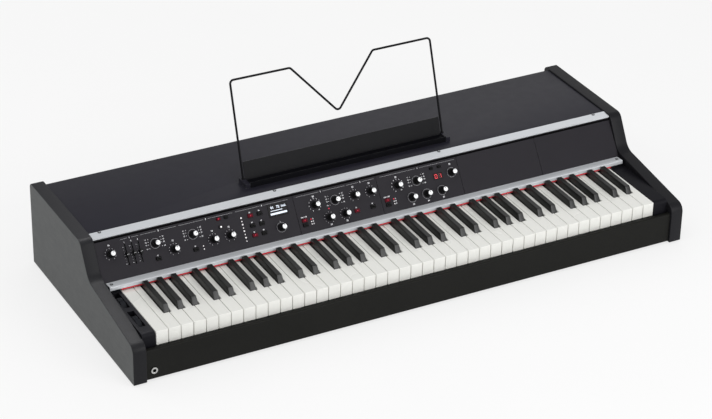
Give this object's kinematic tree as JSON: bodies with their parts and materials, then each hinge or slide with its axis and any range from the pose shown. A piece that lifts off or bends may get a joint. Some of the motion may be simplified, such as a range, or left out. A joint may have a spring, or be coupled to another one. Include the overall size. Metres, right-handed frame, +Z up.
{
  "type": "stage piano",
  "caption": "Long stage piano with a sloping control panel of knobs, sliders and buttons, two side cheeks, and a lift-off wire music stand.",
  "frame": {"origin": "centre of the overall outline, on the plane that the feet stand on", "axes": "+X to the player's right along the keys, +Y from the keys' fronts to the back, +Z up"},
  "size_m": [1.116, 0.462, 0.3495],
  "materials": {
    "side_plastic": "satin",
    "black_board": "satin black lacquer",
    "panel_paint": "fine textured satin",
    "brushed_aluminium": "brushed",
    "white_key_plastic": "semi-gloss",
    "black_key_plastic": "satin",
    "red_felt": "felt",
    "knob_plastic": "satin",
    "button_plastic": "satin",
    "wheel_rubber": "matte",
    "display_glass": "gloss",
    "black_wire": "satin",
    "zinc_steel": "satin",
    "circuit_board": "solder mask",
    "foot_rubber": "matte"
  },
  "bodies": {
    "root": {"back_board": "black_board", "blank_module_1": "panel_paint", "blank_module_2": "panel_paint", "bottom_board": "black_board", "control_circuit_board": "circuit_board", "control_module_1": "panel_paint", "control_module_2": "panel_paint", "digit_display": "display_glass", "front_left_foot": "foot_rubber", "front_rail": "black_board", "front_right_foot": "foot_rubber", "headphone_jack": "zinc_steel", "key_felt": "red_felt", "key_frame": "brushed_aluminium", "left_cheek": "side_plastic", "left_key_block": "side_plastic", "lower_trim_strip": "brushed_aluminium", "main_control_panel": "panel_paint", "rear_left_foot": "foot_rubber", "rear_plate": "panel_paint", "rear_right_foot": "foot_rubber", "rear_socket_board": "circuit_board", "right_cheek": "side_plastic", "right_key_block": "side_plastic", "text_display": "display_glass", "top_cover": "black_board", "upper_trim_strip": "brushed_aluminium"},
    "volume_knob": {"volume_knob": "knob_plastic"},
    "main_knob_1": {"main_knob_1": "knob_plastic"},
    "main_knob_2": {"main_knob_2": "knob_plastic"},
    "main_selector_knob": {"main_selector_knob": "knob_plastic"},
    "main_knob_3": {"main_knob_3": "knob_plastic"},
    "main_knob_4": {"main_knob_4": "knob_plastic"},
    "encoder_knob": {"encoder_knob": "knob_plastic"},
    "module_1_knob_1": {"module_1_knob_1": "knob_plastic"},
    "module_1_selector_knob": {"module_1_selector_knob": "knob_plastic"},
    "module_1_knob_2": {"module_1_knob_2": "knob_plastic"},
    "module_1_knob_3": {"module_1_knob_3": "knob_plastic"},
    "module_1_knob_4": {"module_1_knob_4": "knob_plastic"},
    "module_1_knob_5": {"module_1_knob_5": "knob_plastic"},
    "module_2_knob_1": {"module_2_knob_1": "knob_plastic"},
    "module_2_selector_knob": {"module_2_selector_knob": "knob_plastic"},
    "module_2_knob_2": {"module_2_knob_2": "knob_plastic"},
    "module_2_knob_3": {"module_2_knob_3": "knob_plastic"},
    "module_2_knob_4": {"module_2_knob_4": "knob_plastic"},
    "module_2_knob_5": {"module_2_knob_5": "knob_plastic"},
    "slider_1": {"slider_1": "knob_plastic"},
    "slider_2": {"slider_2": "knob_plastic"},
    "slider_3": {"slider_3": "knob_plastic"},
    "pitch_wheel": {"pitch_wheel": "wheel_rubber"},
    "modulation_wheel": {"modulation_wheel": "wheel_rubber"},
    "main_panel_buttons": {"main_panel_buttons": "button_plastic"},
    "module_1_buttons": {"module_1_buttons": "button_plastic"},
    "module_2_buttons": {"module_2_buttons": "button_plastic"},
    "power_switch": {"power_switch": "button_plastic"},
    "white_keys_a": {"white_keys_a": "white_key_plastic"},
    "white_keys_b": {"white_keys_b": "white_key_plastic"},
    "black_keys": {"black_keys": "black_key_plastic"},
    "music_stand": {"music_stand_wire": "black_wire", "music_stand_tray": "black_wire"}
  },
  "joints": [
    {"name": "volume_knob_turn", "type": "hinge", "parent": "root", "child": "volume_knob", "pos_m": [-0.5065, -0.01949, 0.13744], "axis": [0, -0.8251, 0.565], "range_deg": [-150, 150]},
    {"name": "main_knob_1_turn", "type": "hinge", "parent": "root", "child": "main_knob_1", "pos_m": [-0.422, -0.01949, 0.13744], "axis": [0, -0.8251, 0.565], "range_deg": [-150, 150]},
    {"name": "main_knob_2_turn", "type": "hinge", "parent": "root", "child": "main_knob_2", "pos_m": [-0.3895, -0.02955, 0.12275], "axis": [0, -0.8251, 0.565], "range_deg": [-150, 150]},
    {"name": "main_selector_knob_turn", "type": "hinge", "parent": "root", "child": "main_selector_knob", "pos_m": [-0.3495, -0.01949, 0.13744], "axis": [0, -0.8251, 0.565], "range_deg": [-75, 75]},
    {"name": "main_knob_3_turn", "type": "hinge", "parent": "root", "child": "main_knob_3", "pos_m": [-0.3135, -0.02955, 0.12275], "axis": [0, -0.8251, 0.565], "range_deg": [-150, 150]},
    {"name": "main_knob_4_turn", "type": "hinge", "parent": "root", "child": "main_knob_4", "pos_m": [-0.2805, -0.02955, 0.12275], "axis": [0, -0.8251, 0.565], "range_deg": [-150, 150]},
    {"name": "encoder_knob_turn", "type": "hinge", "parent": "root", "child": "encoder_knob", "pos_m": [-0.1815, -0.03379, 0.11657], "axis": [0, -0.8251, 0.565], "continuous": true},
    {"name": "module_1_knob_1_turn", "type": "hinge", "parent": "root", "child": "module_1_knob_1", "pos_m": [-0.1075, -0.01966, 0.13719], "axis": [0, -0.8251, 0.565], "range_deg": [-150, 150]},
    {"name": "module_1_selector_knob_turn", "type": "hinge", "parent": "root", "child": "module_1_selector_knob", "pos_m": [-0.0665, -0.01966, 0.13719], "axis": [0, -0.8251, 0.565], "range_deg": [-75, 75]},
    {"name": "module_1_knob_2_turn", "type": "hinge", "parent": "root", "child": "module_1_knob_2", "pos_m": [-0.0265, -0.01966, 0.13719], "axis": [0, -0.8251, 0.565], "range_deg": [-150, 150]},
    {"name": "module_1_knob_3_turn", "type": "hinge", "parent": "root", "child": "module_1_knob_3", "pos_m": [0.007, -0.01966, 0.13719], "axis": [0, -0.8251, 0.565], "range_deg": [-150, 150]},
    {"name": "module_1_knob_4_turn", "type": "hinge", "parent": "root", "child": "module_1_knob_4", "pos_m": [-0.085, -0.03577, 0.11368], "axis": [0, -0.8251, 0.565], "range_deg": [-150, 150]},
    {"name": "module_1_knob_5_turn", "type": "hinge", "parent": "root", "child": "module_1_knob_5", "pos_m": [-0.0525, -0.03577, 0.11368], "axis": [0, -0.8251, 0.565], "range_deg": [-150, 150]},
    {"name": "module_2_knob_1_turn", "type": "hinge", "parent": "root", "child": "module_2_knob_1", "pos_m": [0.0625, -0.02023, 0.13637], "axis": [0, -0.8251, 0.565], "range_deg": [-150, 150]},
    {"name": "module_2_selector_knob_turn", "type": "hinge", "parent": "root", "child": "module_2_selector_knob", "pos_m": [0.1025, -0.02023, 0.13637], "axis": [0, -0.8251, 0.565], "range_deg": [-75, 75]},
    {"name": "module_2_knob_2_turn", "type": "hinge", "parent": "root", "child": "module_2_knob_2", "pos_m": [0.177, -0.02023, 0.13637], "axis": [0, -0.8251, 0.565], "range_deg": [-150, 150]},
    {"name": "module_2_knob_3_turn", "type": "hinge", "parent": "root", "child": "module_2_knob_3", "pos_m": [0.086, -0.03605, 0.11327], "axis": [0, -0.8251, 0.565], "range_deg": [-150, 150]},
    {"name": "module_2_knob_4_turn", "type": "hinge", "parent": "root", "child": "module_2_knob_4", "pos_m": [0.117, -0.03605, 0.11327], "axis": [0, -0.8251, 0.565], "range_deg": [-150, 150]},
    {"name": "module_2_knob_5_turn", "type": "hinge", "parent": "root", "child": "module_2_knob_5", "pos_m": [0.149, -0.03605, 0.11327], "axis": [0, -0.8251, 0.565], "range_deg": [-150, 150]},
    {"name": "slider_1_slide", "type": "slide", "parent": "root", "child": "slider_1", "axis": [0, 0.565, 0.8251], "range_m": [-0.0165, 0.0165]},
    {"name": "slider_2_slide", "type": "slide", "parent": "root", "child": "slider_2", "axis": [0, 0.565, 0.8251], "range_m": [-0.0165, 0.0165]},
    {"name": "slider_3_slide", "type": "slide", "parent": "root", "child": "slider_3", "axis": [0, 0.565, 0.8251], "range_m": [-0.0165, 0.0165]},
    {"name": "pitch_wheel_turn", "type": "hinge", "parent": "root", "child": "pitch_wheel", "pos_m": [-0.5206, -0.094, 0.0632], "axis": [1, 0, 0], "range_deg": [-45, 45], "stiffness_Nm_per_rad": 0.05},
    {"name": "modulation_wheel_turn", "type": "hinge", "parent": "root", "child": "modulation_wheel", "pos_m": [-0.5206, -0.1602, 0.0632], "axis": [1, 0, 0], "range_deg": [-45, 45]},
    {"name": "main_panel_buttons_press", "type": "slide", "parent": "root", "child": "main_panel_buttons", "axis": [0, 0.8251, -0.565], "range_m": [0, 0.0008], "stiffness_N_per_m": 1500, "springref_m": -0.0006},
    {"name": "module_1_buttons_press", "type": "slide", "parent": "root", "child": "module_1_buttons", "axis": [0, 0.8251, -0.565], "range_m": [0, 0.0008], "stiffness_N_per_m": 1500, "springref_m": -0.0006},
    {"name": "module_2_buttons_press", "type": "slide", "parent": "root", "child": "module_2_buttons", "axis": [0, 0.8251, -0.565], "range_m": [0, 0.0008], "stiffness_N_per_m": 1500, "springref_m": -0.0006},
    {"name": "power_switch_rock", "type": "hinge", "parent": "root", "child": "power_switch", "pos_m": [0.335, 0.2188, 0.047], "axis": [1, 0, 0], "range_deg": [-18, 0]},
    {"name": "white_keys_a_press", "type": "hinge", "parent": "root", "child": "white_keys_a", "pos_m": [0, 0.014, 0.0669], "axis": [1, 0, 0], "range_deg": [0, 2.5], "stiffness_Nm_per_rad": 15, "springref_deg": -19.48},
    {"name": "white_keys_b_press", "type": "hinge", "parent": "root", "child": "white_keys_b", "pos_m": [0, 0.014, 0.0669], "axis": [1, 0, 0], "range_deg": [0, 2.5], "stiffness_Nm_per_rad": 15, "springref_deg": -19.48},
    {"name": "black_keys_press", "type": "hinge", "parent": "root", "child": "black_keys", "pos_m": [0, 0.014, 0.0669], "axis": [1, 0, 0], "range_deg": [0, 2.5], "stiffness_Nm_per_rad": 12, "springref_deg": -19.48},
    {"name": "music_stand_lift", "type": "slide", "parent": "root", "child": "music_stand", "axis": [0, 0.309, 0.9511], "range_m": [0, 0.02]}
  ]
}
